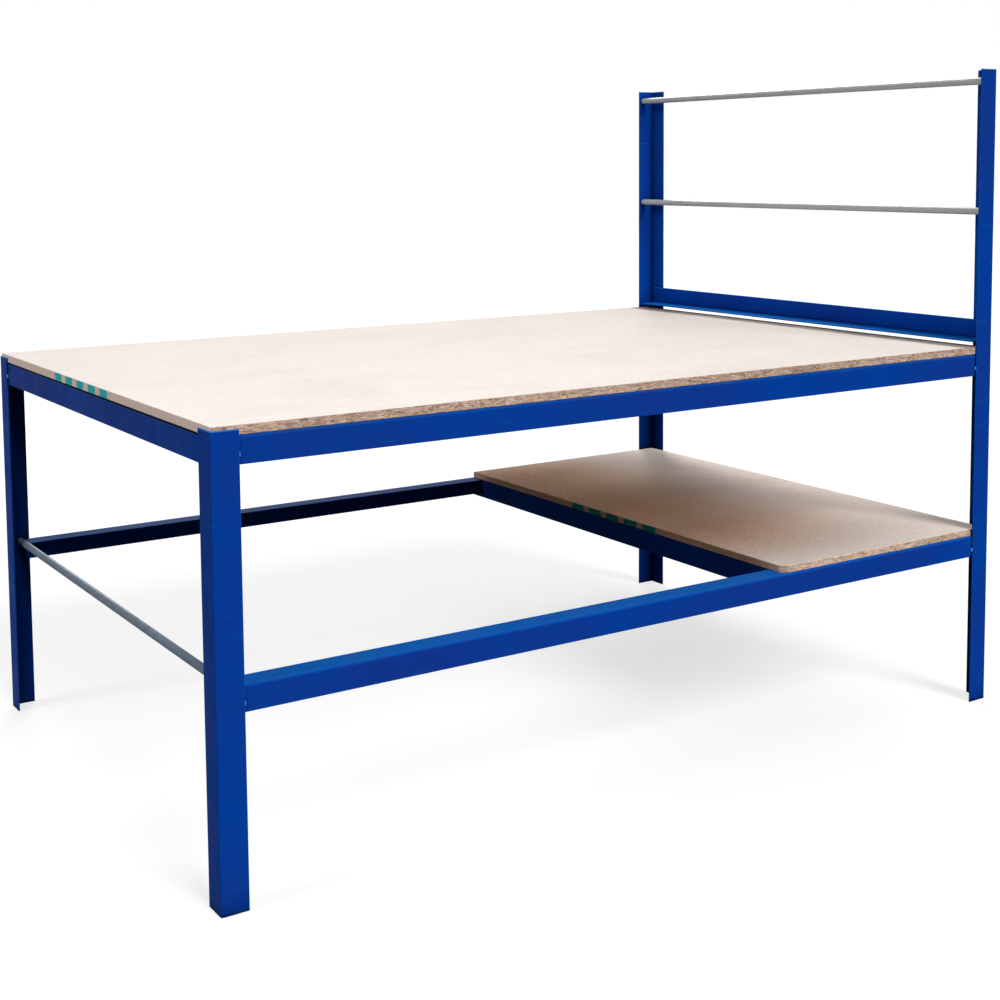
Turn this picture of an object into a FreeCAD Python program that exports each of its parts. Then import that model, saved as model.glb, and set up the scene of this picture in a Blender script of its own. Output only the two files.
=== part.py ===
"""Assembly table: an angle-steel frame with a chipboard worktop, a half shelf
and three zinc tubes, one above the other at the right end and one low on the left.

Axes: +X along the table's length, +Y from front to rear, +Z up.
The origin is on the floor, at the middle of the table.
Every size is a cell of the sheet "sizes", in millimetres.
"""
import FreeCAD, Part
import os
import re
import Sketcher

DRIVING_SIZES = [
    # outside of the frame
    ("table_length", 2000),
    ("table_depth", 1300),
    ("top_height", 870),
    # angle posts
    ("post_leg", 54),
    ("steel", 3),
    ("bend_radius", 5),
    ("short_post_drop", 7),
    ("tall_post_rise", 28),
    # angle beams
    ("beam_flange", 50),
    ("top_beam_web", 52),
    ("lower_beam_web", 50),
    ("end_beam_web", 50),
    ("lower_beam_height", 410),
    ("end_beam_rise", 10),
    ("beam_end_gap", 12),
    ("cope_gap", 1),
    # chipboard
    ("worktop_thickness", 18),
    ("worktop_edge_gap", 1),
    ("worktop_right_setback", 30),
    ("shelf_thickness", 16),
    ("shelf_length", 657),
    ("shelf_edge_gap", 5),
    # tubes and the pegs that carry them
    ("tube_diameter", 17),
    ("tube_wall", 2),
    ("tube_end_gap", 1),
    ("tube_side_gap", 2),
    ("peg_clearance", 0.5),
    ("peg_length", 20),
    ("right_tube_inset", 39),
    ("left_tube_inset", 32),
    ("top_tube_height", 1500),
    ("middle_tube_height", 1193),
    ("left_tube_height", 406),
    # screws that hold the boards down from below
    ("screw_diameter", 4),
    ("screw_length", 15),
    ("screw_head_diameter", 8),
    ("screw_head_height", 2.4),
    ("flange_hole_clearance", 0.4),
    ("pilot_clearance", 0.1),
    ("screw_edge_distance", 10),
    ("screw_margin", 200),
    ("long_side_screws", 5),
    ("short_side_screws", 3),
    ("shelf_screw_margin", 110),
    ("shelf_side_screws", 2),
    # weld beads at the edges of the posts
    ("bead_leg", 3),
    ("bead_length", 8),
    ("bead_drop", 33),
]
ALIASES = {alias for alias, value in DRIVING_SIZES}

# Planes of the frame, as expressions of the sheet's cells.
LEFT = "(-table_length / 2)"
RIGHT = "(table_length / 2)"
FRONT = "(-table_depth / 2)"
REAR = "(table_depth / 2)"
TOP_BEAM_Z = "(top_height - worktop_thickness)"
END_BEAM_Z = "(top_height + end_beam_rise)"
SHELF_LEFT = f"({RIGHT} - steel - shelf_edge_gap - shelf_length)"
# Distance from a post's outer face to the end of a beam that runs into it.
BEAM_INSET = "(steel + beam_end_gap)"
# The same at a post that also carries a tube at the beam's own height.
TUBE_SIDE_INSET = "(left_tube_inset + tube_diameter / 2 + tube_side_gap)"
INNER_BEND = "(bend_radius - steel)"
# Distance of a row of screws from the outer face of the web below it. Where the
# worktop stops short of the web, the row lies midway between its edge and the flange's.
SCREW_LINE = "(beam_flange - screw_edge_distance)"
SETBACK_LINE = "((worktop_right_setback + beam_flange) / 2)"

doc = FreeCAD.newDocument("assembly_table")
sheet = doc.addObject("Spreadsheet::Sheet", "sizes")
for row, (alias, value) in enumerate(DRIVING_SIZES, start=1):
    sheet.set(f"A{row}", alias)
    sheet.set(f"B{row}", str(value))
    sheet.setAlias(f"B{row}", alias)
doc.recompute()

nodes = []


# ---------------------------------------------------------------- helpers

def formula(text):
    """Write the sheet's name in front of each of its aliases."""
    return re.sub(r"[a-z_]+", lambda word: f"sizes.{word[0]}" if word[0] in ALIASES else word[0], text)


def bind(thing, name, text):
    thing.setExpression(name, formula(text))


def place(thing, x, y, z, rotation=None):
    """Turn a sub-part, then bind the point where its own origin lies."""
    thing.Placement = FreeCAD.Placement(FreeCAD.Vector(), rotation or FreeCAD.Rotation())
    for axis, text in zip("xyz", (x, y, z)):
        bind(thing, f".Placement.Base.{axis}", text)


def turned(degrees):
    """A turn about the upright axis."""
    return FreeCAD.Rotation(FreeCAD.Vector(0, 0, 1), degrees)


def add_node(thing, label):
    thing.Label = label
    nodes.append(thing)
    return thing


def new_sketch(body, plane_role, name):
    sketch = body.newObject("Sketcher::SketchObject", name)
    plane = next(part for part in body.Origin.OriginFeatures if part.Role == plane_role)
    sketch.AttachmentSupport = (plane, [""])
    sketch.MapMode = "FlatFace"
    return sketch


def size_constraint(sketch, kind, references, name, text):
    """A named dimension of a sketch, bound to the sheet."""
    index = sketch.addConstraint(Sketcher.Constraint(kind, *references, 1.0))
    sketch.renameConstraint(index, name)
    bind(sketch, f"Constraints.{name}", text)


def closed_outline(sketch, corners):
    """Level and upright lines through rough corners; dimensions then place them."""
    first = sketch.GeometryCount
    count = len(corners)
    for number, start in enumerate(corners):
        end = corners[(number + 1) % count]
        sketch.addGeometry(Part.LineSegment(FreeCAD.Vector(*start, 0), FreeCAD.Vector(*end, 0)), False)
    for number, start in enumerate(corners):
        end = corners[(number + 1) % count]
        line = first + number
        sketch.addConstraint(Sketcher.Constraint("Coincident", line, 2, first + (number + 1) % count, 1))
        kind = "Horizontal" if start[1] == end[1] else "Vertical"
        sketch.addConstraint(Sketcher.Constraint(kind, line))
    return first


def angle_outline(sketch, side):
    """An L with its outer corner on the sketch's origin.

    side is 1 when the second leg rises from the corner and -1 when it hangs.
    """
    rough = [(0, 0), (40, 0), (40, side * 4), (4, side * 4), (4, side * 30), (0, side * 30)]
    closed_outline(sketch, rough)
    sketch.addConstraint(Sketcher.Constraint("Coincident", 0, 1, -1, 1))


def pad_sketch(body, sketch, length, name):
    pad = body.newObject("PartDesign::Pad", name)
    pad.Profile = sketch
    bind(pad, "Length", length)
    doc.recompute()
    return pad


def edge_along(shape, direction, point):
    """The name of the straight edge that runs along direction through point."""
    for number, edge in enumerate(shape.Edges, start=1):
        start, end = (vertex.Point for vertex in edge.Vertexes)
        run = end - start
        offset = point - start
        if run.cross(direction).Length < 1e-6 and offset.cross(direction).Length < 1e-6:
            return f"Edge{number}"
    raise ValueError("no edge there")


def bend(body, base, direction, outer_corner, inner_corner):
    """Round the outside and the inside of the fold."""
    outside = body.newObject("PartDesign::Fillet", "OuterBend")
    outside.Base = (base, [edge_along(base.Shape, direction, outer_corner)])
    bind(outside, "Radius", "bend_radius")
    doc.recompute()
    inside = body.newObject("PartDesign::Fillet", "InnerBend")
    inside.Base = (outside, [edge_along(outside.Shape, direction, inner_corner)])
    bind(inside, "Radius", INNER_BEND)
    doc.recompute()
    return inside


def rectangle(sketch, left, low, width, height):
    """A rectangle placed from the sketch's origin by four named sizes."""
    closed_outline(sketch, [(1, 1), (11, 1), (11, 9), (1, 9)])
    size_constraint(sketch, "DistanceX", (-1, 1, 0, 1), "left", left)
    size_constraint(sketch, "DistanceY", (-1, 1, 0, 1), "low", low)
    size_constraint(sketch, "DistanceX", (0, 1, 0, 2), "width", width)
    size_constraint(sketch, "DistanceY", (1, 1, 1, 2), "height", height)


def cut(body, sketch, name, depth=None, upwards=False):
    """Pocket a sketch, right through where no depth is given."""
    volume = body.Tip.Shape.Volume
    pocket = body.newObject("PartDesign::Pocket", name)
    pocket.Profile = sketch
    pocket.Reversed = upwards
    if depth is None:
        pocket.Type = "ThroughAll"
    else:
        bind(pocket, "Length", depth)
    doc.recompute()
    if pocket.Shape.Volume >= volume:
        raise ValueError(f"{body.Label}: {name} cuts nothing")
    return pocket


def hole_row(body, name, first_x, first_y, axis, span, count, diameter, depth=None, upwards=False):
    """A row of round holes along one axis of the body."""
    sketch = new_sketch(body, "XY_Plane", f"{name}Sketch")
    sketch.addGeometry(Part.Circle(FreeCAD.Vector(5, 5, 0), FreeCAD.Vector(0, 0, 1), 1), False)
    size_constraint(sketch, "DistanceX", (-1, 1, 0, 3), "across", first_x)
    size_constraint(sketch, "DistanceY", (-1, 1, 0, 3), "along", first_y)
    size_constraint(sketch, "Diameter", (0,), "bore", diameter)
    doc.recompute()
    pocket = cut(body, sketch, name, depth, upwards)
    row = body.newObject("PartDesign::LinearPattern", f"{name}Row")
    row.Originals = [pocket]
    row.Direction = (sketch, [axis])
    bind(row, "Length", span)
    bind(row, "Occurrences", count)
    body.Tip = row
    doc.recompute()
    return row


# ---------------------------------------------------------------- steel angles

def post(label, x, y, turn, height):
    """An upright angle: outer corner at x, y, with its legs inwards."""
    body = doc.addObject("PartDesign::Body", label)
    sketch = new_sketch(body, "XY_Plane", "Section")
    angle_outline(sketch, side=1)
    size_constraint(sketch, "DistanceX", (0, 1, 0, 2), "leg_x", "post_leg")
    size_constraint(sketch, "DistanceY", (5, 2, 5, 1), "leg_y", "post_leg")
    size_constraint(sketch, "DistanceY", (1, 1, 1, 2), "wall_x", "steel")
    size_constraint(sketch, "DistanceX", (4, 2, 4, 1), "wall_y", "steel")
    bar = pad_sketch(body, sketch, height, "Bar")
    wall = sheet.steel
    bend(body, bar, FreeCAD.Vector(0, 0, 1), FreeCAD.Vector(0, 0, 0), FreeCAD.Vector(wall, wall, 0))
    place(body, x, y, "0", turned(turn))
    return add_node(body, label)


def angle_beam(label, length, web, flipped=False):
    """A level angle along its own +X, with its outer corner on that axis.

    The flange points along +Y. The web hangs below it, and a flipped beam is
    turned over so that the web stands up and the flange points along -Y.
    """
    body = doc.addObject("PartDesign::Body", label)
    sketch = new_sketch(body, "YZ_Plane", "Section")
    angle_outline(sketch, side=-1)
    size_constraint(sketch, "DistanceX", (0, 1, 0, 2), "flange", "beam_flange")
    size_constraint(sketch, "DistanceY", (5, 1, 5, 2), "web", web)
    size_constraint(sketch, "DistanceY", (1, 2, 1, 1), "flange_wall", "steel")
    size_constraint(sketch, "DistanceX", (4, 2, 4, 1), "web_wall", "steel")
    bar = pad_sketch(body, sketch, length, "Bar")
    wall = sheet.steel
    bend(body, bar, FreeCAD.Vector(1, 0, 0), FreeCAD.Vector(0, 0, 0), FreeCAD.Vector(0, wall, -wall))
    if flipped:
        body.Placement = FreeCAD.Placement(FreeCAD.Vector(), FreeCAD.Rotation(FreeCAD.Vector(1, 0, 0), 180))
    return add_node(body, label)


def cope_flange(body, name, start, length):
    """Cut the flange away beside another beam and leave the web."""
    sketch = new_sketch(body, "XY_Plane", f"{name}Sketch")
    rectangle(sketch, start, "steel", length, "beam_flange")
    doc.recompute()
    return cut(body, sketch, name)


def cope_both(body, name, start, length):
    """Cut the flange away, and the top of the web, to pass under another beam."""
    sketch = new_sketch(body, "XZ_Plane", f"{name}Sketch")
    closed_outline(sketch, [(1, 0), (11, 0), (11, -6), (1, -6)])
    sketch.addConstraint(Sketcher.Constraint("PointOnObject", 0, 1, -1))
    size_constraint(sketch, "DistanceX", (-1, 1, 0, 1), "start", start)
    size_constraint(sketch, "DistanceX", (0, 1, 0, 2), "length", length)
    size_constraint(sketch, "DistanceY", (1, 2, 1, 1), "depth", "bend_radius + cope_gap")
    doc.recompute()
    return cut(body, sketch, name)


# ---------------------------------------------------------------- posts

SHORT_POST = "top_height - short_post_drop"
TALL_POST = "top_tube_height + tall_post_rise"
post("post_front_left", LEFT, FRONT, 0, SHORT_POST)
post("post_rear_left", LEFT, REAR, -90, SHORT_POST)
post("post_front_right", RIGHT, FRONT, 90, TALL_POST)
post("post_rear_right", RIGHT, REAR, 180, TALL_POST)


# ---------------------------------------------------------------- beams under the worktop

LONG_BEAM = f"table_length - 2 * {BEAM_INSET}"
SHORT_BEAM = f"table_depth - 2 * {BEAM_INSET}"
# How far a side beam's flange is cut back to clear the front and rear beams.
SIDE_COPE = f"(steel + beam_flange + cope_gap - {BEAM_INSET})"
WORKTOP_SPAN_X = "(table_length - 2 * screw_margin)"
SPAN_Y = "(table_depth - 2 * screw_margin)"
FLANGE_HOLE = "screw_diameter + 2 * flange_hole_clearance"


def long_top_beam(label, corner_x, corner_y, turn):
    beam = angle_beam(label, LONG_BEAM, "top_beam_web")
    hole_row(beam, "ScrewHoles", f"screw_margin - {BEAM_INSET}", SCREW_LINE,
             "H_Axis", WORKTOP_SPAN_X, "long_side_screws", FLANGE_HOLE)
    place(beam, corner_x, corner_y, TOP_BEAM_Z, turned(turn))


def side_beam(label, web, corner_x, corner_y, corner_z, turn, line=SCREW_LINE):
    """A beam along the depth, coped at both ends, with a row of screw holes."""
    beam = angle_beam(label, SHORT_BEAM, web)
    cope_flange(beam, "FirstCope", "0", SIDE_COPE)
    cope_flange(beam, "SecondCope", f"{SHORT_BEAM} - {SIDE_COPE}", SIDE_COPE)
    hole_row(beam, "ScrewHoles", f"screw_margin - {BEAM_INSET}", line,
             "H_Axis", SPAN_Y, "short_side_screws", FLANGE_HOLE)
    place(beam, corner_x, corner_y, corner_z, turned(turn))


long_top_beam("top_beam_front", f"{LEFT} + {BEAM_INSET}", f"{FRONT} + steel", 0)
long_top_beam("top_beam_rear", f"{RIGHT} - {BEAM_INSET}", f"{REAR} - steel", 180)
side_beam("top_beam_left", "top_beam_web", f"{LEFT} + steel", f"{REAR} - {BEAM_INSET}", TOP_BEAM_Z,
          -90)
side_beam("top_beam_right", "top_beam_web", f"{RIGHT} - steel", f"{FRONT} + {BEAM_INSET}", TOP_BEAM_Z,
          90, SETBACK_LINE)


# ---------------------------------------------------------------- beams under the shelf

LOWER_LONG_BEAM = f"table_length - {BEAM_INSET} - {TUBE_SIDE_INSET}"
SHELF_SPAN_X = "(shelf_length - 2 * shelf_screw_margin)"
SHELF_FIRST_SCREW = f"({SHELF_LEFT} + shelf_screw_margin)"
SHELF_LAST_SCREW = f"({RIGHT} - steel - shelf_edge_gap - shelf_screw_margin)"

lower_front = angle_beam("lower_beam_front", LOWER_LONG_BEAM, "lower_beam_web")
hole_row(lower_front, "ScrewHoles", f"{SHELF_FIRST_SCREW} - {LEFT} - {TUBE_SIDE_INSET}", SCREW_LINE,
         "H_Axis", SHELF_SPAN_X, "shelf_side_screws", FLANGE_HOLE)
place(lower_front, f"{LEFT} + {TUBE_SIDE_INSET}", f"{FRONT} + steel", "lower_beam_height")

lower_rear = angle_beam("lower_beam_rear", LOWER_LONG_BEAM, "lower_beam_web")
hole_row(lower_rear, "ScrewHoles", f"{RIGHT} - {BEAM_INSET} - {SHELF_LAST_SCREW}", SCREW_LINE,
         "H_Axis", SHELF_SPAN_X, "shelf_side_screws", FLANGE_HOLE)
place(lower_rear, f"{RIGHT} - {BEAM_INSET}", f"{REAR} - steel", "lower_beam_height", turned(180))

side_beam("lower_beam_right", "lower_beam_web", f"{RIGHT} - steel", f"{FRONT} + {BEAM_INSET}",
          "lower_beam_height", 90)

# The cross beam stands between the webs of the front and rear beams and passes under their flanges.
CROSS_BEAM = "(table_depth - 4 * steel)"
CROSS_COPE = "(beam_flange - steel + cope_gap)"
cross_beam = angle_beam("shelf_cross_beam", CROSS_BEAM, "lower_beam_web")
cope_both(cross_beam, "RearCope", "0", CROSS_COPE)
cope_both(cross_beam, "FrontCope", f"{CROSS_BEAM} - {CROSS_COPE}", CROSS_COPE)
hole_row(cross_beam, "ScrewHoles", "screw_margin - 2 * steel", SCREW_LINE,
         "H_Axis", SPAN_Y, "short_side_screws", FLANGE_HOLE)
place(cross_beam, SHELF_LEFT, f"{REAR} - 2 * steel", "lower_beam_height", turned(-90))

# The end beam ties the tall posts just above the worktop, flange down.
end_beam = angle_beam("end_frame_beam", SHORT_BEAM, "end_beam_web")
over = FreeCAD.Rotation(FreeCAD.Vector(1, 0, 0), 180)
place(end_beam, f"{RIGHT} - steel", f"{REAR} - {BEAM_INSET}", END_BEAM_Z, turned(-90).multiply(over))


# ---------------------------------------------------------------- chipboard

def board(label, length, depth, thickness):
    """A rectangular board with its left front lower corner on its own origin."""
    body = doc.addObject("PartDesign::Body", label)
    sketch = new_sketch(body, "XY_Plane", "Outline")
    rectangle(sketch, "0", "0", length, depth)
    pad_sketch(body, sketch, thickness, "Board")
    return add_node(body, label)


def pilot_rows(body, rows):
    """Blind screw holes in the underside: name, first x, first y, axis, span, count."""
    for name, first_x, first_y, axis, span, count in rows:
        hole_row(body, name, first_x, first_y, axis, span, count,
                 "screw_diameter + 2 * pilot_clearance",
                 depth="screw_length - steel + pilot_clearance", upwards=True)


WORKTOP_X = f"({LEFT} + steel + worktop_edge_gap)"
WORKTOP_Y = f"({FRONT} + steel + worktop_edge_gap)"
WORKTOP_LENGTH = "(table_length - 2 * steel - worktop_edge_gap - worktop_right_setback)"
WORKTOP_DEPTH = "(table_depth - 2 * steel - 2 * worktop_edge_gap)"
worktop = board("worktop_board", WORKTOP_LENGTH, WORKTOP_DEPTH, "worktop_thickness")
first_x = f"{LEFT} + screw_margin - {WORKTOP_X}"
first_y = f"{FRONT} + screw_margin - {WORKTOP_Y}"
front_line = f"{FRONT} + steel + {SCREW_LINE} - {WORKTOP_Y}"
rear_line = f"{REAR} - steel - {SCREW_LINE} - {WORKTOP_Y}"
left_line = f"{LEFT} + steel + {SCREW_LINE} - {WORKTOP_X}"
right_line = f"{RIGHT} - steel - {SETBACK_LINE} - {WORKTOP_X}"
pilot_rows(worktop, [
    ("FrontPilots", first_x, front_line, "H_Axis", WORKTOP_SPAN_X, "long_side_screws"),
    ("RearPilots", first_x, rear_line, "H_Axis", WORKTOP_SPAN_X, "long_side_screws"),
    ("LeftPilots", left_line, first_y, "V_Axis", SPAN_Y, "short_side_screws"),
    ("RightPilots", right_line, first_y, "V_Axis", SPAN_Y, "short_side_screws"),
])
place(worktop, WORKTOP_X, WORKTOP_Y, TOP_BEAM_Z)

SHELF_Y = f"({FRONT} + steel + shelf_edge_gap)"
SHELF_DEPTH = "(table_depth - 2 * steel - 2 * shelf_edge_gap)"
shelf = board("shelf_board", "shelf_length", SHELF_DEPTH, "shelf_thickness")
shelf_first_y = f"{FRONT} + screw_margin - {SHELF_Y}"
pilot_rows(shelf, [
    ("FrontPilots", "shelf_screw_margin", f"{FRONT} + steel + {SCREW_LINE} - {SHELF_Y}",
     "H_Axis", SHELF_SPAN_X, "shelf_side_screws"),
    ("RearPilots", "shelf_screw_margin", f"{REAR} - steel - {SCREW_LINE} - {SHELF_Y}",
     "H_Axis", SHELF_SPAN_X, "shelf_side_screws"),
    ("LeftPilots", SCREW_LINE, shelf_first_y, "V_Axis", SPAN_Y, "short_side_screws"),
    ("RightPilots", f"{RIGHT} - steel - {SCREW_LINE} - {SHELF_LEFT}", shelf_first_y,
     "V_Axis", SPAN_Y, "short_side_screws"),
])
place(shelf, SHELF_LEFT, SHELF_Y, "lower_beam_height")


# ---------------------------------------------------------------- tubes on pegs

ALONG_Y = FreeCAD.Rotation(FreeCAD.Vector(1, 0, 0), -90)
AGAINST_Y = FreeCAD.Rotation(FreeCAD.Vector(1, 0, 0), 90)


def tube(label, x, z):
    """A round tube between a front and a rear post, loose on two pegs."""
    body = doc.addObject("PartDesign::Body", label)
    sketch = new_sketch(body, "XY_Plane", "Section")
    for radius in (8, 6):
        ring = sketch.addGeometry(Part.Circle(FreeCAD.Vector(), FreeCAD.Vector(0, 0, 1), radius), False)
        sketch.addConstraint(Sketcher.Constraint("Coincident", ring, 3, -1, 1))
    size_constraint(sketch, "Diameter", (0,), "outside", "tube_diameter")
    size_constraint(sketch, "Diameter", (1,), "inside", "tube_diameter - 2 * tube_wall")
    pad_sketch(body, sketch, "table_depth - 2 * (steel + tube_end_gap)", "Tube")
    place(body, x, f"{FRONT} + steel + tube_end_gap", z, ALONG_Y)
    add_node(body, label)

    pegs = []
    for end, y, rotation in (("front", f"{FRONT} + steel", ALONG_Y), ("rear", f"{REAR} - steel", AGAINST_Y)):
        peg = doc.addObject("Part::Cylinder", f"{label}_{end}_peg")
        bind(peg, "Radius", "tube_diameter / 2 - tube_wall - peg_clearance")
        bind(peg, "Height", "peg_length")
        place(peg, x, y, z, rotation)
        pegs.append(peg)
    pair = doc.addObject("Part::Compound", f"{label}_pegs")
    pair.Links = pegs
    add_node(pair, f"{label}_pegs")


tube("top_roll_tube", f"{RIGHT} - right_tube_inset", "top_tube_height")
tube("middle_roll_tube", f"{RIGHT} - right_tube_inset", "middle_tube_height")
tube("left_foot_tube", f"{LEFT} + left_tube_inset", "left_tube_height")


# ---------------------------------------------------------------- screws

def screw(name, x, y, z):
    """A round-headed screw driven up from z, the underside of a flange."""
    shank = doc.addObject("Part::Cylinder", f"{name}_shank")
    bind(shank, "Radius", "screw_diameter / 2")
    bind(shank, "Height", "screw_length")
    head = doc.addObject("Part::Cylinder", f"{name}_head")
    bind(head, "Radius", "screw_head_diameter / 2")
    bind(head, "Height", "screw_head_height")
    place(head, "0", "0", "-screw_head_height")
    whole = doc.addObject("Part::Fuse", name)
    whole.Base = shank
    whole.Tool = head
    place(whole, x, y, z)
    return whole


def screw_row(name, start, axis, span, count, z):
    """Screws under one row of holes; count is the sheet's whole number."""
    screws = []
    total = int(sheet.get(count))
    for number in range(total):
        step = f"{span} * {number} / max({count} - 1; 1)"
        x, y = start
        if axis == "x":
            x = f"{x} + {step}"
        else:
            y = f"{y} + {step}"
        screws.append(screw(f"{name}_{number + 1}", x, y, z))
    return screws


def screw_group(label, rows):
    group = doc.addObject("Part::Compound", label)
    group.Links = [one for row in rows for one in row]
    add_node(group, label)


def rows_under(name, left, front, x_lines, y_lines, spans, counts, z):
    """Rows along the front, rear, left and right edges of one board."""
    left_x, right_x = x_lines
    front_y, rear_y = y_lines
    span_x, span_y = spans
    count_x, count_y = counts
    return [
        screw_row(f"{name}_front", (left, front_y), "x", span_x, count_x, z),
        screw_row(f"{name}_rear", (left, rear_y), "x", span_x, count_x, z),
        screw_row(f"{name}_left", (left_x, front), "y", span_y, count_y, z),
        screw_row(f"{name}_right", (right_x, front), "y", span_y, count_y, z),
    ]


FRONT_LINE = f"{FRONT} + steel + {SCREW_LINE}"
REAR_LINE = f"{REAR} - steel - {SCREW_LINE}"
screw_group("worktop_screws", rows_under(
    "worktop_screw", f"{LEFT} + screw_margin", f"{FRONT} + screw_margin",
    (f"{LEFT} + steel + {SCREW_LINE}", f"{RIGHT} - steel - {SETBACK_LINE}"), (FRONT_LINE, REAR_LINE),
    (WORKTOP_SPAN_X, SPAN_Y), ("long_side_screws", "short_side_screws"),
    f"{TOP_BEAM_Z} - steel"))
screw_group("shelf_screws", rows_under(
    "shelf_screw", SHELF_FIRST_SCREW, f"{FRONT} + screw_margin",
    (f"{SHELF_LEFT} + {SCREW_LINE}", f"{RIGHT} - steel - {SCREW_LINE}"), (FRONT_LINE, REAR_LINE),
    (SHELF_SPAN_X, SPAN_Y), ("shelf_side_screws", "short_side_screws"),
    "lower_beam_height - steel"))


# ---------------------------------------------------------------- weld beads

def bead(name, x, y, z, turn):
    """A short upright bead in the corner at x, y; turn picks its quarter."""
    weld = doc.addObject("Part::Cylinder", name)
    weld.Angle = 90
    bind(weld, "Radius", "bead_leg")
    bind(weld, "Height", "bead_length")
    place(weld, x, y, f"{z} - bead_length / 2", turned(turn))
    return weld


LEFT_EDGE = f"{LEFT} + post_leg"
RIGHT_EDGE = f"{RIGHT} - post_leg"
FRONT_EDGE = f"{FRONT} + post_leg"
REAR_EDGE = f"{REAR} - post_leg"
# Corner between a post's free edge and the outer face of the beam behind it.
LONG_BEAM_CORNERS = [
    ("front_left", LEFT_EDGE, f"{FRONT} + steel", -90),
    ("front_right", RIGHT_EDGE, f"{FRONT} + steel", 180),
    ("rear_left", LEFT_EDGE, f"{REAR} - steel", 0),
    ("rear_right", RIGHT_EDGE, f"{REAR} - steel", 90),
]
LEFT_BEAM_CORNERS = [
    ("left_front", f"{LEFT} + steel", FRONT_EDGE, 90),
    ("left_rear", f"{LEFT} + steel", REAR_EDGE, 180),
]
RIGHT_BEAM_CORNERS = [
    ("right_front", f"{RIGHT} - steel", FRONT_EDGE, 0),
    ("right_rear", f"{RIGHT} - steel", REAR_EDGE, -90),
]
CROSS_BEAM_CORNERS = [
    ("cross_front", SHELF_LEFT, f"{FRONT} + 2 * steel", 90),
    ("cross_rear", SHELF_LEFT, f"{REAR} - 2 * steel", 180),
]
TOP_BEADS_Z = f"{TOP_BEAM_Z} - bead_drop"
LOWER_BEADS_Z = "lower_beam_height - bead_drop"
END_BEADS_Z = f"{END_BEAM_Z} + bead_drop"
bead_levels = [
    ("top", TOP_BEADS_Z, LONG_BEAM_CORNERS + LEFT_BEAM_CORNERS + RIGHT_BEAM_CORNERS),
    ("lower", LOWER_BEADS_Z, LONG_BEAM_CORNERS + RIGHT_BEAM_CORNERS + CROSS_BEAM_CORNERS),
    ("end", END_BEADS_Z, RIGHT_BEAM_CORNERS),
]
beads = doc.addObject("Part::Compound", "weld_beads")
beads.Links = [
    bead(f"{level}_{corner}_bead", x, y, z, turn)
    for level, z, corners in bead_levels
    for corner, x, y, turn in corners
]
add_node(beads, "weld_beads")


# ---------------------------------------------------------------- check and write

doc.recompute()
for thing in doc.Objects:
    if {"Invalid", "Error"} & set(thing.State):
        raise RuntimeError(f"{thing.Label} did not compute: {thing.State}")
for node in nodes:
    if node.Shape.isNull() or not node.Shape.isValid():
        raise RuntimeError(f"{node.Label} has no valid shape")

os.makedirs("parts", exist_ok=True)
for node in nodes:
    node.Shape.exportStep(f"parts/{node.Label}.step")
    print(f"{node.Label}: {len(node.Shape.Solids)} solid(s), {node.Shape.Volume / 1000:.1f} cm3")
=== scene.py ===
"""The assembly table's looks: worn blue paint, chipboard, zinc tubes, a pale studio and the camera.

Everything is in metres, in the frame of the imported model: +X along the table's length,
+Y from front to rear, +Z up, with the origin on the floor under the table's middle.
"""
import math

import bmesh
import bpy
from mathutils import Matrix, Vector, noise


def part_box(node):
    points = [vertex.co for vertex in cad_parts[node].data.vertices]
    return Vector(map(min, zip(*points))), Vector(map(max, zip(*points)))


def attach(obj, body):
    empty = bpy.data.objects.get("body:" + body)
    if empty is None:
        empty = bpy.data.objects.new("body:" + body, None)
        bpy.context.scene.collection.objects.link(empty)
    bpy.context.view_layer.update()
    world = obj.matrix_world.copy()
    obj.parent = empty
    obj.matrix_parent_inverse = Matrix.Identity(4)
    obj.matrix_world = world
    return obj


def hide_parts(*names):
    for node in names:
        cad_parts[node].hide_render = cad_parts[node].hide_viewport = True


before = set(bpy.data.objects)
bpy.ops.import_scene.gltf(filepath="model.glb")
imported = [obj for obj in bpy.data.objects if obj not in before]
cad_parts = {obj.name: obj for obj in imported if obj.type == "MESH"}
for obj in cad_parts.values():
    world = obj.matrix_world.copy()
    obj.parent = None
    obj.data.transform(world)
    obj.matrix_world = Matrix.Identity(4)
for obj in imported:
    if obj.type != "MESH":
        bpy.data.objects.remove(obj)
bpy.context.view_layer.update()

IMAGE_SIZE = 1000

# Camera: where it stands, how it is turned in degrees, the photograph's focal length in pixels,
# and the row of the picture that the lens axis meets.
CAMERA_PLACE = (-2.0016, -3.1062, 1.3161)
CAMERA_YAW = 32.975
CAMERA_PITCH = -5.066
CAMERA_ROLL = -0.437
FOCAL_PIXELS = 1547.0
AXIS_ROW = 300
SENSOR_WIDTH = 36.0

# Colours are linear.
PAINT_BLUE = (0.001, 0.050, 0.340)
PAINT_DEEP = (0.006, 0.038, 0.280)
PAINT_WORN = (0.010, 0.280, 0.700)
# Painted highlight on upper edges.
PAINT_RIM_HIGHLIGHT = (0.050, 0.360, 0.820)
# Painted shade inside the angle steel.
PAINT_CORNER_SHADE = (0.000, 0.010, 0.075)
# Painted light: level faces are painted lighter than upright ones.
PAINT_TOP_LIT = (0.002, 0.115, 0.470)
PAINT_DUST = (0.012, 0.150, 0.330)
# Painted shade on the rear lower beam under the worktop: a darker, greyer tone with a painted grey
# sheen on its level faces, and a lighter painted shade inside its angle.
PAINT_TOP_SHADED_REAR = (0.130, 0.185, 0.375)
PAINT_CORNER_SHADE_REAR = (0.045, 0.095, 0.400)
# Painted shade inside the posts under the worktop.
POST_INSIDE_SHADE = (0.000, 0.003, 0.022)
# Painted shade in crevices between parts.
CREVICE_SHADE = (0.001, 0.002, 0.008)
GLOSS_BLUE = (0.06, 0.40, 1.00)
BARE_STEEL = (0.300, 0.290, 0.280)
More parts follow.
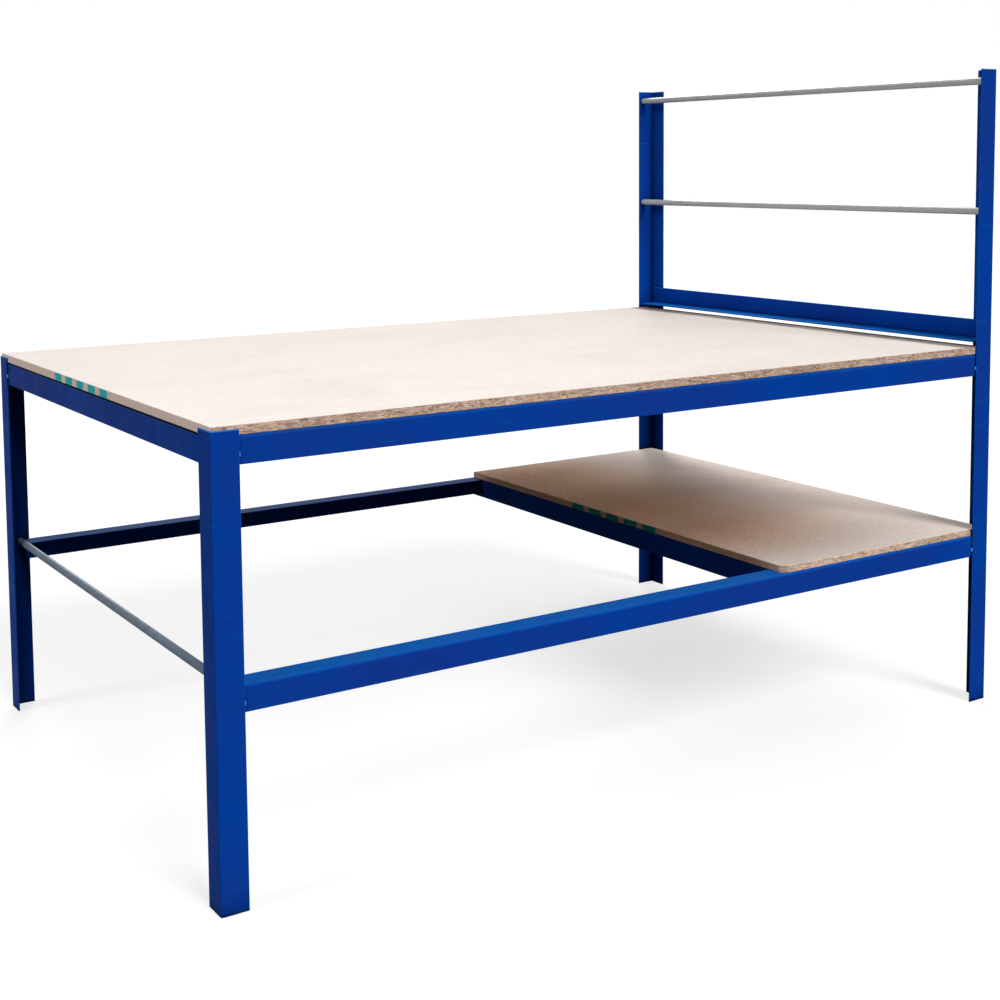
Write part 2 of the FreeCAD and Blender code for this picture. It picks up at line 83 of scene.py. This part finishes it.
# Weld beads: a painted highlight, much lighter than the paint.
WELD_HIGHLIGHT_DEEP = (0.015, 0.170, 0.640)
WELD_HIGHLIGHT = (0.090, 0.330, 0.860)
# Dirt in the shelf's scuffs, and a painted shadow on the worktop under the end beam.
DIRT_AND_SHADOW = (0.075, 0.052, 0.038)
CHIP_DARK = (0.090, 0.050, 0.034)
CHIP_PALE = (0.950, 0.820, 0.660)
ZINC_LIGHT = (0.520, 0.545, 0.550)
ZINC_DARK = (0.350, 0.368, 0.375)
# Painted shade: a darker, bluer zinc for the foot tube.
ZINC_SHADED_LIGHT = (0.225, 0.288, 0.370)
ZINC_SHADED_DARK = (0.108, 0.147, 0.200)

# Paint: how far the painted shade reaches out of the angle's inner corner, inside the posts and
# into crevices, how wide the painted highlight on upper edges and the worn edges are, and how deep
# the orange peel is.
CORNER_SHADE_REACH = 0.06
POST_INSIDE_SHADE_REACH = 0.09
CREVICE_SHADE_REACH = 0.009
UPPER_EDGE_HIGHLIGHT = 0.004
WORN_EDGE = 0.0016
PEEL_DEPTH = 0.00012

# Other bumps: ripples on the welds, drawing lines along the tubes, and the screws' plating.
RIPPLE_DEPTH = 0.0006
LINE_DEPTH = 0.00006
SCREW_ROUGH_DEPTH = 0.0001

# Heights: painted shade inside the posts begins at the worktop's underside and is full a little lower,
# and a painted shadow band on the left top beam begins at its foot and runs up to the worktop.
POST_SHADE_TOP = 0.852
POST_SHADE_FADE = 0.06
LEFT_SHADOW_FOOT = 0.8482
LEFT_SHADOW_FADE = 0.0008

# Painted stripes on the left edges of the boards: how many, their spacing, how far their borders
# wander, and how soft these are as a share of the spacing.
STRIPE_COUNT = 5
STRIPE_SPACING = 0.0739
STRIPE_SHAKE = 0.0035
STRIPE_BLUR = 0.03

# The boards' tones. first_stripe is the middle of the front stripe along Y. face_shade is a
# stain tone that also serves as painted shade; the shelf's dark, dusk and grey face tones are
# painted shade.
WORKTOP_LOOK = {
    "face": (0.720, 0.658, 0.618), "face_shade": (0.520, 0.470, 0.435), "cloud_strength": 0.34,
    "raw_edge": (0.565, 0.385, 0.290), "smooth_edge": (0.990, 0.775, 0.675),
    "stripe": (0.035, 0.576, 0.616), "first_stripe": -0.0900, "stripe_width": 0.0450,
}
SHELF_LOOK = {
    "face": (0.930, 0.830, 0.770), "face_shade": (0.660, 0.345, 0.165), "cloud_strength": 0.22,
    "face_dark": (0.300, 0.138, 0.050),
    "face_dusk": (0.300, 0.175, 0.125),
    "face_front_shade": (0.550, 0.505, 0.475),
    "raw_edge": (0.700, 0.490, 0.350), "smooth_edge": (0.900, 0.560, 0.370),
    "stripe": (0.004, 0.290, 0.260), "first_stripe": -0.1680, "stripe_width": 0.0530,
}

# A painted shadow on the worktop in front of the end beam: the X where it starts and where it is full.
WORKTOP_SHADOW_BAND = (0.892, 0.918)

# Bands of painted shade across the shelf: the tone, the band's middle along Y, the distances from it
# at which the band has faded out and is still full, the same two as X, and its strongest share.
SHELF_SHADE_BANDS = (
    ("face_shade", 0.22, 0.85, 0.25, 0.82, 0.45, 0.92),
    ("face_dusk", -0.30, 0.30, 0.05, 0.97, 0.45, 0.90),
    ("face_dark", 0.38, 0.44, 0.10, 0.80, 0.38, 0.90),
)

# The boards' shapes: the shelf's cut corner, the worn arris, the deepest chip beyond it, how fine
# the chips are, the places in the noise of the lower and upper arris, the step between points of
# the outline, and how near to the border a point counts as on it.
SHELF_CLIPPED_CORNER = 0.014
ARRIS = 0.0008
ARRIS_CHIP = 0.0010
CHIPS_PER_METRE = 45.0
BOTTOM_SEED = 3.0
TOP_SEED = 11.0
RIM_STEP = 0.008
ON_BORDER = 0.0005

# The boards' surface: how wide the frayed edge is, and how deep the fibres are.
FRAYED_EDGE = 0.0018
FIBRE_DEPTH = 0.0011

POST_NODES = ["post_front_left", "post_rear_left", "post_front_right", "post_rear_right"]
BEAM_NODES = [
    "top_beam_front", "top_beam_rear", "top_beam_right", "lower_beam_front", "lower_beam_right",
    "shelf_cross_beam", "end_frame_beam",
]
PEG_NODES = ["top_roll_tube_pegs", "middle_roll_tube_pegs", "left_foot_tube_pegs"]
HIGH_TUBE_NODES = ["top_roll_tube", "middle_roll_tube"]
SCREW_NODES = ["worktop_screws", "shelf_screws"]

# Sun lamps: name, strength, the way the light travels, and how soft it is in degrees.
SUNS = (
    ("key", 3.15, (-0.06, 0.78, -0.62), 28.0),
    ("side", 1.08, (0.84, 0.0, -0.54), 20.0),
    ("back", 1.6, (-0.30, -0.66, -0.45), 30.0),
)

# The world's own light: its level, and how it grows towards the rear and the top.
AMBIENT = 0.11
AMBIENT_TILT = (0.0, 0.5, 1.8)

# How much of the white surroundings a mirror ray sees.
GLOSSY_SHARE = 0.35

# The floor: its own glow and colour as the camera sees them, and the colour that light meets.
FLOOR_GLOW = 0.66
FLOOR_WHITE = 0.36
FLOOR_BOUNCE = 0.03
FLOOR_SIZE = 40.0


# ---------------------------------------------------------------- node helpers

class Graph:
    """A material's node tree, built with short calls that return sockets."""

    def __init__(self, name):
        self.material = bpy.data.materials.new(name)
        self.material.use_nodes = True
        self.tree = self.material.node_tree
        self.shader = self.tree.nodes["Principled BSDF"]
        self.place = self.add("ShaderNodeTexCoord").outputs["Object"]
        self.facing = self.add("ShaderNodeNewGeometry").outputs["Normal"]

    def add(self, kind, **settings):
        node = self.tree.nodes.new(kind)
        for name, value in settings.items():
            setattr(node, name, value)
        return node

    def feed(self, socket, value):
        """Link a socket, or set a plain value."""
        if isinstance(value, bpy.types.NodeSocket):
            self.tree.links.new(value, socket)
        elif isinstance(value, tuple) and len(value) == 3 and len(socket.default_value) == 4:
            socket.default_value = (*value, 1.0)
        else:
            socket.default_value = value

    def stretch(self, scale):
        """The object's own coordinates, scaled per axis."""
        node = self.add("ShaderNodeVectorMath", operation="MULTIPLY")
        self.feed(node.inputs[0], self.place)
        self.feed(node.inputs[1], scale)
        return node.outputs["Vector"]

    def noise(self, scale, detail=3.0, roughness=0.55, where=None, distortion=0.0):
        node = self.add("ShaderNodeTexNoise")
        self.feed(node.inputs["Vector"], where or self.place)
        self.feed(node.inputs["Scale"], scale)
        self.feed(node.inputs["Detail"], detail)
        self.feed(node.inputs["Roughness"], roughness)
        self.feed(node.inputs["Distortion"], distortion)
        return node.outputs["Fac"]

    def cells(self, scale):
        """A random value, 0 to 1, for each cell of a pattern with scale cells per metre."""
        node = self.add("ShaderNodeTexVoronoi")
        self.feed(node.inputs["Vector"], self.stretch(scale))
        self.feed(node.inputs["Scale"], 1.0)
        return self.part(node.outputs["Color"], "X")

    def span(self, value, low, high, to_low, to_high):
        """Map the range low to high onto to_low to to_high, clamped."""
        node = self.add("ShaderNodeMapRange")
        for name, given in (("Value", value), ("From Min", low), ("From Max", high),
                            ("To Min", to_low), ("To Max", to_high)):
            self.feed(node.inputs[name], given)
        return node.outputs["Result"]

    def rise(self, value, start, full, most=1.0):
        """0 at start and before it, growing to most at full, which may be above or below start."""
        return self.span(value, start, full, 0.0, most)

    def math(self, operation, first, second=0.0):
        node = self.add("ShaderNodeMath", operation=operation)
        self.feed(node.inputs[0], first)
        self.feed(node.inputs[1], second)
        return node.outputs["Value"]

    def times(self, first, second):
        return self.math("MULTIPLY", first, second)

    def blend(self, factor, first, second):
        node = self.add("ShaderNodeMix", data_type="RGBA")
        self.feed(node.inputs["Factor"], factor)
        self.feed(node.inputs[6], first)
        self.feed(node.inputs[7], second)
        return node.outputs[2]

    def part(self, vector, axis):
        node = self.add("ShaderNodeSeparateXYZ")
        self.feed(node.inputs[0], vector)
        return node.outputs[axis]

    def open_sky(self, reach, alone=False):
        """1 on open faces, less in the corners of the angle steel. alone leaves other pieces out."""
        node = self.add("ShaderNodeAmbientOcclusion", samples=6, only_local=alone)
        self.feed(node.inputs["Distance"], reach)
        return node.outputs["AO"]

    def rounded(self, radius):
        """The surface's direction as if its edges were rounded."""
        node = self.add("ShaderNodeBevel", samples=4)
        self.feed(node.inputs["Radius"], radius)
        return node.outputs["Normal"]

    def edge(self, radius):
        """About 1 on sharp outer and inner edges, 0 on flat faces."""
        dot = self.add("ShaderNodeVectorMath", operation="DOT_PRODUCT")
        self.feed(dot.inputs[0], self.rounded(radius))
        self.feed(dot.inputs[1], self.facing)
        return self.rise(dot.outputs["Value"], 0.995, 0.80)

    def top_rim_highlight(self, radius):
        """About 1 along edges that would catch light from above if they were rounded."""
        lifted = self.part(self.rounded(radius), "Z")
        return self.rise(self.math("SUBTRACT", lifted, self.part(self.facing, "Z")), 0.04, 0.40)

    def bump(self, height, distance, strength, soft_edge=0.0008):
        """Bump over edges that are rounded a little, as rolled and cut edges are."""
        node = self.add("ShaderNodeBump")
        self.feed(node.inputs["Height"], height)
        self.feed(node.inputs["Distance"], distance)
        self.feed(node.inputs["Strength"], strength)
        self.feed(node.inputs["Normal"], self.rounded(soft_edge))
        self.feed(self.shader.inputs["Normal"], node.outputs["Normal"])

    def finish(self, color, roughness, metallic=0.0, specular=0.5, gloss_tint=(1.0, 1.0, 1.0)):
        self.feed(self.shader.inputs["Specular Tint"], gloss_tint)
        self.feed(self.shader.inputs["Base Color"], color)
        self.feed(self.shader.inputs["Roughness"], roughness)
        self.feed(self.shader.inputs["Metallic"], metallic)
        self.feed(self.shader.inputs["Specular IOR Level"], specular)
        return self.material


def shaded(color, share):
    """A colour brought down to a share of itself."""
    return tuple(c * share for c in color)


# ---------------------------------------------------------------- materials

def blue_paint(name, top=PAINT_TOP_LIT, inner_shade=PAINT_CORNER_SHADE, rim=0.35, gloss=0.02,
               shadow_above=None, shade_below=None):
    """Satin paint on steel: orange peel, dust on top, scuffs, thin worn edges, and painted light and
    shade.

    top and inner_shade are the tones of level faces, painted lighter, and of painted shade inside the
    angle, and rim is how bright the painted highlight on the upper edges is. shadow_above and
    shade_below are heights: of a painted shadow band, and of painted shade inside the angle.
    """
    graph = Graph(name)
    height = graph.part(graph.place, "Z")
    face_up = graph.part(graph.facing, "Z")
    level = graph.rise(face_up, 0.5, 1.0)

    color = graph.blend(graph.rise(graph.noise(2.2, detail=4.0), 0.38, 0.66), PAINT_BLUE, PAINT_DEEP)
    # Painted light: level faces take a lighter tone.
    color = graph.blend(graph.times(level, 0.85), color, top)
    dust = graph.rise(graph.noise(9.0, detail=6.0), 0.42, 0.75, most=0.16)
    color = graph.blend(graph.times(level, dust), color, PAINT_DUST)
    scuffs = graph.noise(1.0, detail=5.0, where=graph.stretch((9.0, 9.0, 160.0)))
    color = graph.blend(graph.rise(scuffs, 0.66, 0.72, most=0.18), color, PAINT_WORN)
    # Painted shade in the inner corner of the angle.
    corner_shade = graph.rise(graph.open_sky(CORNER_SHADE_REACH), 0.90, 0.45, most=0.55)
    corner_shade = graph.times(corner_shade, graph.math("SUBTRACT", 1.0, level))
    color = graph.blend(corner_shade, color, inner_shade)
    # Painted shade inside the posts under the worktop.
    if shade_below:
        low = graph.rise(height, shade_below, shade_below - POST_SHADE_FADE)
        inside = graph.rise(graph.open_sky(POST_INSIDE_SHADE_REACH, alone=True), 0.985, 0.58)
        color = graph.blend(graph.times(low, inside), color, POST_INSIDE_SHADE)

    # A painted highlight along the upper edges.
    color = graph.blend(graph.times(graph.top_rim_highlight(UPPER_EDGE_HIGHLIGHT), rim), color, PAINT_RIM_HIGHLIGHT)
    edge = graph.edge(WORN_EDGE)
    patchy = graph.span(graph.noise(60.0, detail=4.0), 0.40, 0.60, 0.55, 1.0)
    color = graph.blend(graph.times(edge, graph.times(patchy, 0.85)), color, PAINT_WORN)
    bare_spots = graph.rise(graph.noise(34.0, detail=5.0), 0.66, 0.70, most=0.8)
    color = graph.blend(graph.times(edge, bare_spots), color, BARE_STEEL)
    # Painted shade in crevices and where parts meet.
    crevice_shade = graph.rise(graph.open_sky(CREVICE_SHADE_REACH), 0.93, 0.52)
    sheltered = graph.span(face_up, 0.15, 0.70, 1.0, 0.20)
    color = graph.blend(graph.times(crevice_shade, sheltered), color, CREVICE_SHADE)
    # A painted shadow band under the worktop's edge.
    if shadow_above:
        darkening = graph.rise(height, shadow_above, shadow_above + LEFT_SHADOW_FADE)
        color = graph.blend(darkening, color, CREVICE_SHADE)

    graph.bump(graph.noise(420.0, detail=1.0), PEEL_DEPTH, strength=0.6)
    roughness = graph.span(graph.noise(14.0, detail=5.0), 0.3, 0.7, 0.34, 0.50)
    return graph.finish(color, roughness, specular=gloss, gloss_tint=GLOSS_BLUE)


def weld_paint():
    """Thin paint over a small weld bead, ripples across it, both tones much lighter than the frame: a
    painted highlight on the round bead.
    """
    graph = Graph("weld_paint")
    ripples = graph.noise(1.0, detail=2.0, where=graph.stretch((150.0, 150.0, 900.0)))
    color = graph.blend(graph.rise(ripples, 0.35, 0.65), WELD_HIGHLIGHT_DEEP, WELD_HIGHLIGHT)
    graph.bump(ripples, RIPPLE_DEPTH, strength=0.8, soft_edge=0.0006)
    return graph.finish(color, roughness=0.32, specular=0.25)


def board_stripes(graph, look):
    """The painted marks across the left edge: 1 inside a mark, with soft rough borders."""
    along = graph.part(graph.place, "Y")
    shake = graph.span(graph.noise(70.0, detail=3.0), 0.3, 0.7, -STRIPE_SHAKE, STRIPE_SHAKE)
    from_first = graph.math("SUBTRACT", graph.math("ADD", along, shake), look["first_stripe"])
    phase = graph.math("DIVIDE", from_first, STRIPE_SPACING)
    from_centre = graph.math("ABSOLUTE", graph.math("SUBTRACT", phase, graph.math("ROUND", phase)))
    half = look["stripe_width"] / STRIPE_SPACING / 2
    mark = graph.rise(from_centre, half + STRIPE_BLUR, half - STRIPE_BLUR)
    after_first = graph.rise(phase, -0.5, -0.48)
    before_last = graph.rise(phase, STRIPE_COUNT - 0.5, STRIPE_COUNT - 0.52)
    left_face = graph.rise(graph.part(graph.facing, "X"), -0.5, -0.7)
    worn = graph.span(graph.noise(160.0, detail=4.0), 0.28, 0.50, 0.85, 1.0)
    for share in (graph.times(after_first, before_last), graph.times(left_face, worn)):
        mark = graph.times(mark, share)
    return mark


def board_face(graph, look, shading):
    """The sanded face: stains, painted shade and the shelf's scuffs as pairs of share and tone, flat
    chips, fibres and scratches.
    """
    shade = look["face_shade"]
    clouds = graph.noise(1.0, detail=6.0, roughness=0.62, where=graph.stretch((2.6, 4.2, 1.0)),
                         distortion=0.8)
    face = graph.blend(graph.rise(clouds, 0.42, 0.72, look["cloud_strength"]), look["face"], shade)
    for share, tone in shading:
        face = graph.blend(share, face, tone)
    flakes = graph.cells((120.0, 260.0, 120.0))
    face = graph.blend(graph.rise(flakes, 0.60, 1.0, most=0.26), face, shade)
    face = graph.blend(graph.rise(flakes, 0.25, 0.0, most=0.20), face, CHIP_PALE)
    fibres = graph.noise(1.0, detail=5.0, roughness=0.65, where=graph.stretch((26.0, 190.0, 70.0)))
    face = graph.blend(graph.rise(fibres, 0.56, 0.74, most=0.34), face, shade)
    scratches = graph.noise(1.0, detail=3.0, where=graph.stretch((3.0, 210.0, 3.0)), distortion=1.6)
    face = graph.blend(graph.rise(scratches, 0.70, 0.76, most=0.25), face, shade)
    return face, fibres


def board_rim(graph, look):
    """The edges: raw pressed chips on the long sides, smooth and marked on the short ones."""
    chips = graph.cells((105.0, 105.0, 400.0))
    grain = graph.noise(1.0, detail=5.0, roughness=0.72, where=graph.stretch((170.0, 170.0, 520.0)))
    specks = graph.noise(62.0, detail=4.0, roughness=0.7)
    patches = graph.noise(9.0, detail=3.0)
    raw = look["raw_edge"]
    for share, tone in ((graph.rise(chips, 0.62, 1.0, most=0.58), CHIP_DARK),
                        (graph.rise(chips, 0.30, 0.0, most=0.46), CHIP_PALE),
                        (graph.rise(grain, 0.46, 0.34, most=0.75), CHIP_DARK),
                        (graph.rise(grain, 0.58, 0.70, most=0.25), CHIP_PALE),
                        (graph.rise(specks, 0.60, 0.68, most=0.60), CHIP_DARK),
                        (graph.rise(patches, 0.50, 0.70, most=0.30), CHIP_DARK)):
        raw = graph.blend(share, raw, tone)
    smooth = graph.blend(graph.rise(grain, 0.48, 0.64, most=0.6), look["smooth_edge"],
                         shaded(look["smooth_edge"], 0.72))
    smooth = graph.blend(board_stripes(graph, look), smooth, look["stripe"])
    short_side = graph.rise(graph.math("ABSOLUTE", graph.part(graph.facing, "X")), 0.75, 0.85)
    return graph.blend(short_side, raw, smooth), grain


def chipboard(name, look, shading_of):
    """Pressed chipboard. shading_of gives the face's painted shade, and the shelf's scuffs, as pairs
    of share, 0 to 1, and tone.
    """
    graph = Graph(name)
    face, fibres = board_face(graph, look, shading_of(graph, look))
    rim, grain = board_rim(graph, look)
    flat = graph.rise(graph.math("ABSOLUTE", graph.part(graph.facing, "Z")), 0.5, 0.7)
    color = graph.blend(flat, rim, face)
    frayed = graph.times(graph.edge(FRAYED_EDGE), graph.rise(graph.noise(110.0), 0.42, 0.60))
    color = graph.blend(graph.times(frayed, 0.50), color, CHIP_DARK)
    height = graph.blend(flat, grain, graph.times(fibres, 0.18))
    graph.bump(height, FIBRE_DEPTH, strength=0.7)
    return graph.finish(color, graph.span(grain, 0.3, 0.7, 0.62, 0.80), specular=0.05)


def worktop_painted_shade(graph, look):
    """Painted shade: greyer towards the right and the rear, and a painted shadow under the end beam.
    """
    side = graph.part(graph.place, "X")
    # Painted shade: greyer towards the right and the rear.
    right = graph.rise(side, 0.05, 0.95, most=0.22)
    rear = graph.rise(graph.part(graph.place, "Y"), -0.45, 0.60, most=0.32)
    # A painted shadow on the worktop under the end beam's flange, with a ragged border.
    ragged = graph.span(graph.noise(9.0, detail=3.0), 0.30, 0.65, 0.74, 0.92)
    return ((graph.math("ADD", right, rear), look["face_shade"]),
            (graph.times(graph.rise(side, *WORKTOP_SHADOW_BAND), ragged), DIRT_AND_SHADOW))


def shelf_painted_shade(graph, look):
    """Painted shade: greyer at the front, brown to the left, with two dark bands; and dark scuffs."""
    along = graph.part(graph.place, "Y")
    side = graph.part(graph.place, "X")
    # Painted shade: greyer towards the front, and in bands towards the left.
    shading = [(graph.rise(along, 0.05, -0.45, most=0.75), look["face_front_shade"])]
    for tone, middle, faded, full, faded_x, full_x, most in SHELF_SHADE_BANDS:
        away = graph.math("ABSOLUTE", graph.math("SUBTRACT", along, middle))
        share = graph.times(graph.rise(away, faded, full), graph.rise(side, faded_x, full_x, most))
        shading.append((share, look[tone]))
    scuffs = graph.noise(1.0, detail=5.0, where=graph.stretch((11.0, 15.0, 1.0)), distortion=1.2)
    shading.append((graph.rise(scuffs, 0.62, 0.78, most=0.28), DIRT_AND_SHADOW))
    return shading


def zinc_tube(name, light, dark, shine):
    """Zinc-coated tube: faint spangle, drawing lines along it and darker handling marks."""
    graph = Graph(name)
    spangle = graph.cells((160.0, 70.0, 160.0))
    color = graph.blend(graph.span(spangle, 0.0, 1.0, 0.35, 0.65), dark, light)
    lines = graph.noise(1.0, detail=3.0, where=graph.stretch((700.0, 2.5, 700.0)))
    color = graph.blend(graph.rise(lines, 0.52, 0.75, most=0.30), color, dark)
    darkening = graph.noise(7.0, detail=5.0)
    color = graph.blend(graph.rise(darkening, 0.56, 0.74, most=0.22), color, shaded(dark, 0.5))
    graph.bump(lines, LINE_DEPTH, strength=0.5, soft_edge=0.0005)
    return graph.finish(color, graph.span(darkening, 0.3, 0.7, 0.30, 0.42), metallic=shine, specular=shine)


def screw_zinc():
    """Zinc-plated screws."""
    graph = Graph("screw_zinc")
    tone = graph.noise(300.0, detail=3.0)
    color = graph.blend(graph.rise(tone, 0.3, 0.7), ZINC_DARK, ZINC_LIGHT)
    graph.bump(tone, SCREW_ROUGH_DEPTH, strength=0.5, soft_edge=0.0005)
    return graph.finish(color, roughness=0.35, metallic=0.9)


# ---------------------------------------------------------------- the table

def dress(nodes, material):
    """Give CAD nodes a material in every slot of their own."""
    for name in nodes:
        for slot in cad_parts[name].material_slots:
            slot.material = material


def rim_points(low, high, clipped):
    """The board's outline from above, anticlockwise from the front left corner, in short steps."""
    corners = [Vector((low.x + clipped, low.y)), Vector((high.x, low.y)), Vector((high.x, high.y)),
               Vector((low.x, high.y)), Vector((low.x, low.y + clipped))]
    if not clipped:
        corners.pop()
    points = []
    for start, end in zip(corners, corners[1:] + corners[:1]):
        steps = max(1, round((end - start).length / RIM_STEP))
        points += [start.lerp(end, i / steps) for i in range(steps)]
    return points


def chip_depth(point, seed):
    """How far the arris is broken away at a point of the outline."""
    rough = noise.noise(Vector((point.x * CHIPS_PER_METRE, point.y * CHIPS_PER_METRE, seed)))
    return ARRIS + ARRIS_CHIP * max(0.0, rough)


def pulled_in(value, low, high, depth):
    """A coordinate of the outline, moved inwards by depth if it lies on the board's border."""
    if low + ON_BORDER <= value <= high - ON_BORDER:
        return value
    return value + math.copysign(depth, (low + high) / 2 - value)


def worn_board(name, node, material, clipped=0.0):
    """A board with small chips broken out of its arrises, in the space of its CAD node."""
    low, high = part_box(node)
    points = rim_points(low, high, clipped)
    mesh_data = bmesh.new()
    rings = []
    for z, seed in ((low.z, BOTTOM_SEED), (low.z + ARRIS, None),
                    (high.z - ARRIS, None), (high.z, TOP_SEED)):
        ring = []
        for point in points:
            depth = 0.0 if seed is None else chip_depth(point, seed)
            ring.append(mesh_data.verts.new((pulled_in(point.x, low.x, high.x, depth),
                                             pulled_in(point.y, low.y, high.y, depth), z)))
        rings.append(ring)
    count = len(points)
    for lower, upper in zip(rings, rings[1:]):
        for i in range(count):
            j = (i + 1) % count
            mesh_data.faces.new((lower[i], lower[j], upper[j], upper[i]))
    mesh_data.faces.new(rings[-1])
    mesh_data.faces.new(list(reversed(rings[0])))
    mesh = bpy.data.meshes.new(name)
    mesh_data.to_mesh(mesh)
    mesh_data.free()
    mesh.materials.append(material)
    board = bpy.data.objects.new(name, mesh)
    bpy.context.collection.objects.link(board)
    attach(board, "frame")
    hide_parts(node)


def dress_all():
    dress(BEAM_NODES + PEG_NODES, blue_paint("blue_paint_beams"))
    # The posts: painted shade inside them under the worktop, and a brighter painted highlight on their
    # upper edges.
    dress(POST_NODES, blue_paint("blue_paint_posts", rim=0.95, shade_below=POST_SHADE_TOP))
    # The rear lower beam: a shaded copy of the paint, with a painted grey sheen in place of gloss.
    dress(["lower_beam_rear"], blue_paint("blue_paint_shaded_rear", top=PAINT_TOP_SHADED_REAR,
                                          inner_shade=PAINT_CORNER_SHADE_REAR, rim=0.2, gloss=0.0))
    # The left top beam: a painted shadow band under the worktop.
    dress(["top_beam_left"], blue_paint("blue_paint_left", shadow_above=LEFT_SHADOW_FOOT))
    dress(["weld_beads"], weld_paint())
    dress(HIGH_TUBE_NODES, zinc_tube("zinc_bright", ZINC_LIGHT, ZINC_DARK, shine=0.30))
    # The foot tube: a darker, less shiny copy of the zinc, as painted shade.
    dress(["left_foot_tube"], zinc_tube("zinc_shaded", ZINC_SHADED_LIGHT, ZINC_SHADED_DARK, shine=0.10))
    dress(SCREW_NODES, screw_zinc())
    worn_board("worktop_panel", "worktop_board",
               chipboard("chipboard_top", WORKTOP_LOOK, worktop_painted_shade))
    worn_board("shelf_panel", "shelf_board",
               chipboard("chipboard_shelf", SHELF_LOOK, shelf_painted_shade), SHELF_CLIPPED_CORNER)


# ---------------------------------------------------------------- studio

def seen_share(tree):
    """1 for camera rays, GLOSSY_SHARE for mirror rays, 0 for the light thrown on surfaces."""
    path = tree.nodes.new("ShaderNodeLightPath")
    share = tree.nodes.new("ShaderNodeMath")
    share.operation = "MULTIPLY_ADD"
    tree.links.new(path.outputs["Is Glossy Ray"], share.inputs[0])
    share.inputs[1].default_value = GLOSSY_SHARE
    tree.links.new(path.outputs["Is Camera Ray"], share.inputs[2])
    return share.outputs["Value"]


def make_world():
    """White to the camera, and a dim light on the table, strongest from above."""
    world = bpy.data.worlds.new("studio")
    world.use_nodes = True
    tree = world.node_tree
    background = tree.nodes["Background"]
    background.inputs["Color"].default_value = (1.0, 1.0, 1.0, 1.0)
    tilt = tree.nodes.new("ShaderNodeVectorMath")
    tilt.operation = "DOT_PRODUCT"
    tree.links.new(tree.nodes.new("ShaderNodeTexCoord").outputs["Generated"], tilt.inputs[0])
    tilt.inputs[1].default_value = AMBIENT_TILT
    ambient = tree.nodes.new("ShaderNodeMath")
    ambient.operation = "MULTIPLY_ADD"
    tree.links.new(tilt.outputs["Value"], ambient.inputs[0])
    ambient.inputs[1].default_value = AMBIENT
    ambient.inputs[2].default_value = AMBIENT
    ambient.use_clamp = True
    strength = tree.nodes.new("ShaderNodeMapRange")
    tree.links.new(seen_share(tree), strength.inputs["Value"])
    tree.links.new(ambient.outputs["Value"], strength.inputs["To Min"])
    strength.inputs["To Max"].default_value = 1.0
    tree.links.new(strength.outputs["Result"], background.inputs["Strength"])
    bpy.context.scene.world = world


def make_floor():
    """A white floor that keeps the table's shadow and throws little light back up."""
    bpy.ops.mesh.primitive_plane_add(size=FLOOR_SIZE, location=(0, 0, 0))
    floor = bpy.context.object
    floor.name = "studio_floor"
    material = bpy.data.materials.new("floor_white")
    material.use_nodes = True
    tree = material.node_tree
    shader = tree.nodes["Principled BSDF"]
    shader.inputs["Roughness"].default_value = 1.0
    shader.inputs["Specular IOR Level"].default_value = 0.0
    seen = seen_share(tree)
    shader.inputs["Emission Color"].default_value = (1.0, 1.0, 1.0, 1.0)
    for unseen, direct, socket in ((FLOOR_BOUNCE, FLOOR_WHITE, "Base Color"),
                                   (0.0, FLOOR_GLOW, "Emission Strength")):
        shade = tree.nodes.new("ShaderNodeMapRange")
        tree.links.new(seen, shade.inputs["Value"])
        shade.inputs["To Min"].default_value = unseen
        shade.inputs["To Max"].default_value = direct
        tree.links.new(shade.outputs["Result"], shader.inputs[socket])
    floor.data.materials.append(material)


def make_sun(name, strength, direction, softness):
    light = bpy.data.lights.new(name, "SUN")
    light.energy = strength
    light.angle = math.radians(softness)
    sun = bpy.data.objects.new(name, light)
    sun.rotation_euler = Vector(direction).to_track_quat("-Z", "Y").to_euler()
    bpy.context.collection.objects.link(sun)


def make_camera():
    data = bpy.data.cameras.new("camera")
    data.sensor_width = SENSOR_WIDTH
    data.lens = FOCAL_PIXELS / IMAGE_SIZE * SENSOR_WIDTH
    data.shift_y = AXIS_ROW / IMAGE_SIZE - 0.5
    camera = bpy.data.objects.new("camera", data)
    camera.location = CAMERA_PLACE
    turn = Matrix.Rotation(math.radians(-CAMERA_YAW), 3, "Z")
    tilt = Matrix.Rotation(math.radians(90 + CAMERA_PITCH), 3, "X")
    roll = Matrix.Rotation(math.radians(CAMERA_ROLL), 3, "Z")
    camera.rotation_euler = (turn @ tilt @ roll).to_euler()
    bpy.context.collection.objects.link(camera)
    bpy.context.scene.camera = camera


dress_all()
make_world()
make_floor()
for sun_lamp in SUNS:
    make_sun(*sun_lamp)
make_camera()
bpy.context.scene.view_settings.view_transform = "Standard"
